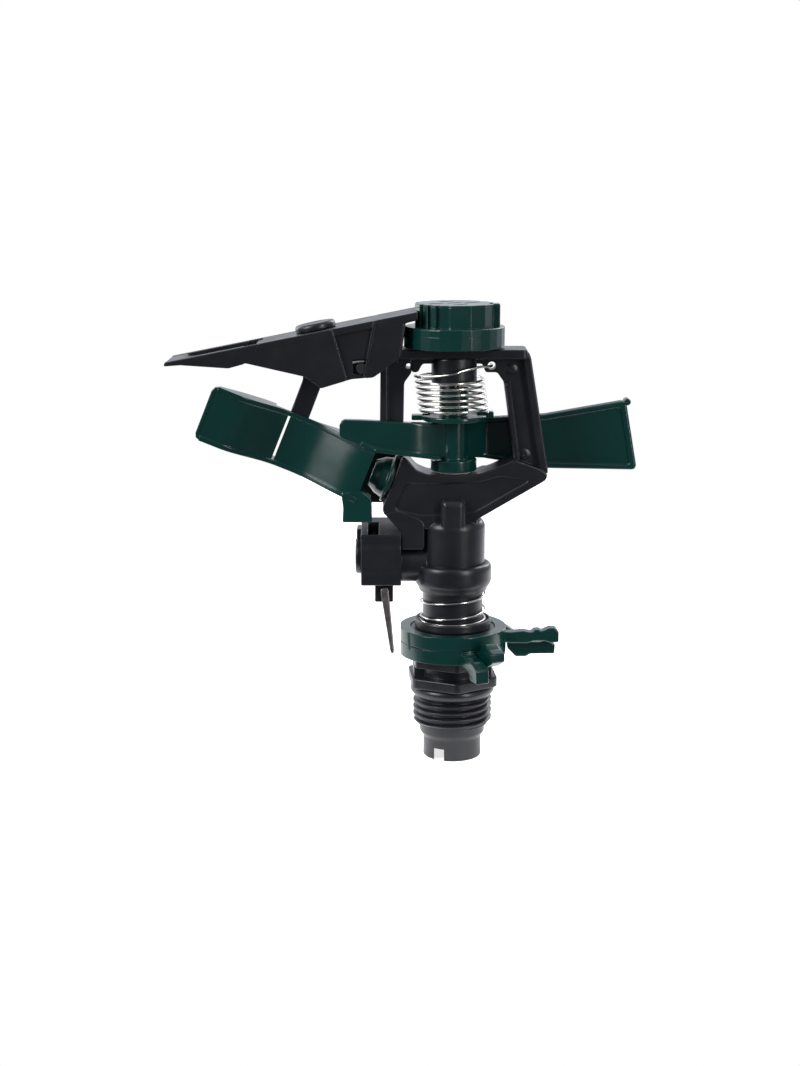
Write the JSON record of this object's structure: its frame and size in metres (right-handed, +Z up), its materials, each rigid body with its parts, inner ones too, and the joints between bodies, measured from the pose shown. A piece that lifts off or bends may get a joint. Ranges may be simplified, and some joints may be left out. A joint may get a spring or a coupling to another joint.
{
  "type": "impact sprinkler head",
  "caption": "Part-circle impact sprinkler head: a sprung arm knocks the turning nozzle body round between two adjustable trip collars on a threaded inlet.",
  "frame": {"origin": "on the turning axis at the bottom face of the inlet", "axes": "+Z up along the turning axis; -X is the side that the jet leaves on; -Y is the beam's open face"},
  "size_m": [0.1223, 0.0381, 0.1208],
  "materials": {
    "black_plastic": "gloss",
    "green_plastic": "gloss",
    "spring_steel": "bright drawn wire",
    "pin_steel": "satin",
    "rubber_seal": "matt",
    "pale_plastic": "matt",
    "bush_brass": "turned",
    "grey_plastic": "satin"
  },
  "bodies": {
    "inlet": {"inlet_nipple": "black_plastic", "spring_cup": "black_plastic", "slip_washer": "pale_plastic", "barrel_spring": "spring_steel"},
    "lower_stop": {"collar_lower": "green_plastic"},
    "upper_stop": {"collar_upper": "green_plastic"},
    "head": {"bearing_tube": "black_plastic", "rubber_washer": "rubber_seal", "body": "black_plastic", "sand_skirt": "black_plastic", "nozzle": "green_plastic", "nozzle_gasket": "rubber_seal", "fulcrum_pin": "pin_steel", "arm_washer": "pale_plastic", "arm_spring": "spring_steel", "flap_pivot_pin": "pin_steel", "trip_housing": "black_plastic", "trip_axle": "pin_steel", "trip_end_cap": "black_plastic", "trip_spring": "spring_steel", "cap_clip": "spring_steel"},
    "cap": {"adjuster_cap": "green_plastic"},
    "impact_arm": {"arm": "green_plastic", "arm_bushes": "bush_brass"},
    "flap": {"deflector_flap": "black_plastic", "flap_knob": "black_plastic", "flap_detent": "grey_plastic", "detent_clip": "spring_steel"},
    "trip": {"trip_lever": "black_plastic", "pin_hinge_rod": "pin_steel"},
    "pin": {"trip_pin": "pin_steel"}
  },
  "joints": [
    {"name": "head_turn", "type": "hinge", "parent": "inlet", "child": "head", "pos_m": [0, 0, 0.04], "axis": [0, 0, 1], "range_deg": [-165, 60]},
    {"name": "lower_stop_turn", "type": "hinge", "parent": "inlet", "child": "lower_stop", "pos_m": [0, 0, 0.03], "axis": [0, 0, 1], "range_deg": [-60, 35]},
    {"name": "upper_stop_turn", "type": "hinge", "parent": "inlet", "child": "upper_stop", "pos_m": [0, 0, 0.034], "axis": [0, 0, 1], "range_deg": [-35, 120]},
    {"name": "arm_swing", "type": "hinge", "parent": "head", "child": "impact_arm", "pos_m": [0, 0, 0.088], "axis": [0, 0, 1], "range_deg": [0, 100], "stiffness_Nm_per_rad": 0.0006, "springref_deg": -45.84, "deforming": ["arm_spring"]},
    {"name": "flap_tilt", "type": "hinge", "parent": "head", "child": "flap", "pos_m": [-0.0168, 0, 0.11], "axis": [0, -1, 0], "range_deg": [-6, 5]},
    {"name": "cap_turn", "type": "hinge", "parent": "head", "child": "cap", "pos_m": [0, 0, 0.112], "axis": [0, 0, 1], "range_deg": [0, 90]},
    {"name": "trip_flip", "type": "hinge", "parent": "head", "child": "trip", "pos_m": [-0.0184, 0, 0.0545], "axis": [1, 0, 0], "range_deg": [0, 20]},
    {"name": "pin_flip", "type": "hinge", "parent": "trip", "child": "pin", "pos_m": [-0.018, -0.00408, 0.04578], "axis": [0, 0.9848, -0.1736], "range_deg": [0, 95]}
  ]
}
